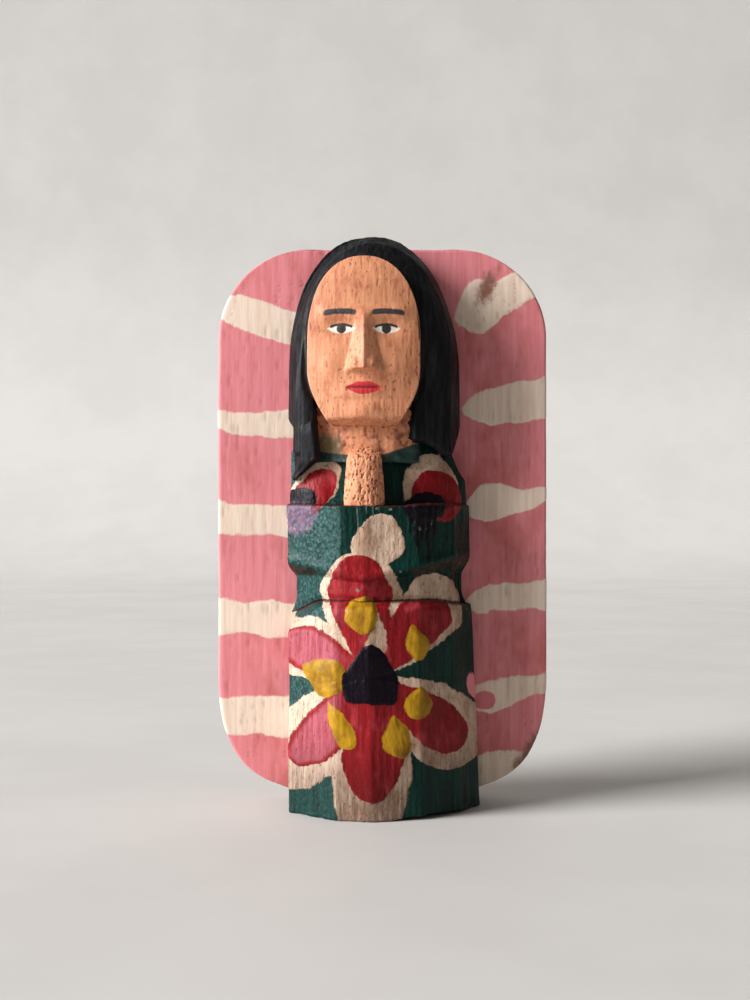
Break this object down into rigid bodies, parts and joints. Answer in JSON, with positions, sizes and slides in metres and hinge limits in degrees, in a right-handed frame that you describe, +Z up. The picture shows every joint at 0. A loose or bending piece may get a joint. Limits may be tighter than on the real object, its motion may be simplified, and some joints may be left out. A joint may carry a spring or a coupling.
{
  "type": "madonna statue",
  "caption": "Hand-carved, hand-painted wooden madonna with long hair and praying hands, mounted on a rounded backboard.",
  "frame": {"origin": "middle of the bounding box, on the plane that the figure's base stands on", "axes": "+Z up along the figure, -Y out of the figure's front, +X to the viewer's right"},
  "size_m": [0.053, 0.0205, 0.09],
  "materials": {
    "robe_paint": "dark green brushed paint with flowers, half gloss, over carved wood",
    "skin_paint": "matte orange-tan paint over open-grained wood",
    "hair_paint": "charcoal brushed paint, half gloss, over carved wood",
    "board_paint": "matte pink and cream brushed stripes over open-grained wood",
    "dried_glue": "dried wood glue",
    "nail_steel": "plain steel pin"
  },
  "bodies": {
    "root": {"robe_skirt": "robe_paint", "robe_sleeves": "robe_paint", "robe_shoulders": "robe_paint", "praying_hands": "skin_paint", "neck": "skin_paint", "face": "skin_paint", "hair": "hair_paint", "backboard": "board_paint", "glue_film": "dried_glue", "nail_upper": "nail_steel", "nail_lower": "nail_steel"}
  },
  "joints": []
}
